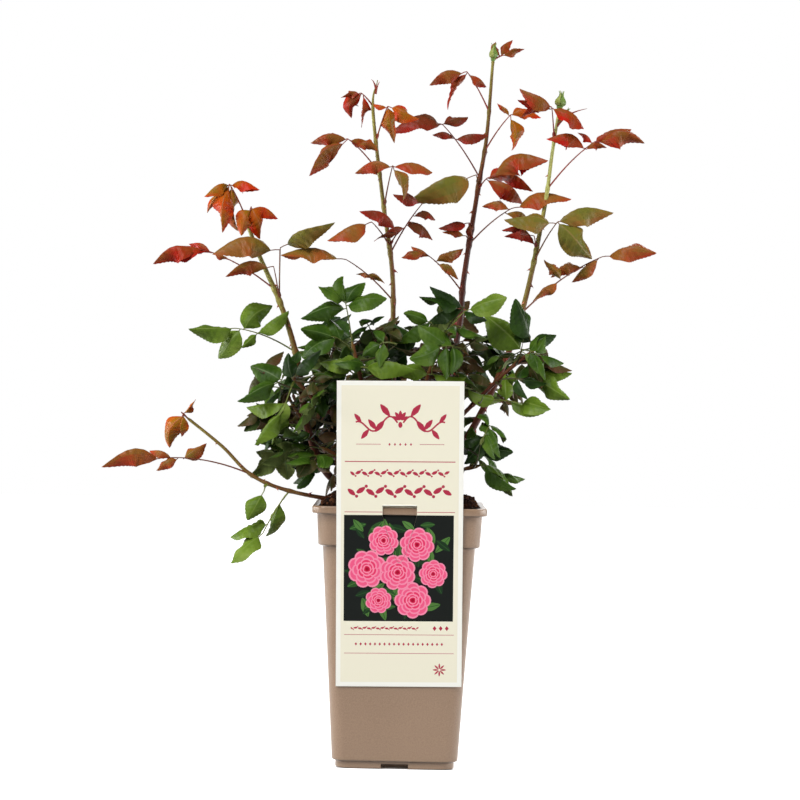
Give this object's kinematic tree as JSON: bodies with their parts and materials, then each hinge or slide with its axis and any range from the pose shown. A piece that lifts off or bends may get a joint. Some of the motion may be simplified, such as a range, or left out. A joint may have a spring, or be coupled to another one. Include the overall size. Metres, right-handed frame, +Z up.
{
  "type": "potted rose bush",
  "caption": "Young bush rose with upright canes, red new growth and green foliage below, in a tall square nursery pot with a plain card label hooked on its rim.",
  "frame": {"origin": "centre of the pot's flat underside", "axes": "+Z up along the pot's axis; -Y is the front, where the label hangs; +X to the right seen from the front"},
  "size_m": [0.5453, 0.2796, 0.7422],
  "materials": {
    "pot_plastic": "satin taupe, moulded",
    "compost": "crumbly, dark brown",
    "label_card": "smooth printed card",
    "cane_bark": "green-brown bark",
    "young_foliage": "satin red to bronze leaves",
    "green_foliage": "satin green leaves"
  },
  "bodies": {
    "root": {"pot": "pot_plastic", "soil": "compost", "label": "label_card", "crown": "cane_bark", "bough_left": "cane_bark", "leaves_left": "young_foliage", "bough_centre": "cane_bark", "leaves_centre": "young_foliage", "bough_tall": "cane_bark", "leaves_tall": "young_foliage", "bough_right": "cane_bark", "leaves_right": "young_foliage", "bough_low_left": "cane_bark", "leaves_low_left": "young_foliage", "bough_low_right": "cane_bark", "leaves_low_right": "green_foliage", "bough_side_right": "cane_bark", "leaves_side_right": "green_foliage", "bough_front_left": "cane_bark", "leaves_front_left": "green_foliage", "bough_front_right": "cane_bark", "leaves_front_right": "green_foliage", "bough_thicket_low": "cane_bark", "leaves_thicket_low": "green_foliage", "bough_thicket_left": "cane_bark", "leaves_thicket_left": "green_foliage", "bough_thicket_outer": "cane_bark", "leaves_thicket_outer": "green_foliage", "bough_back_left": "cane_bark", "leaves_back_left": "green_foliage", "bough_back_right": "cane_bark", "leaves_back_right": "green_foliage"}
  },
  "joints": []
}
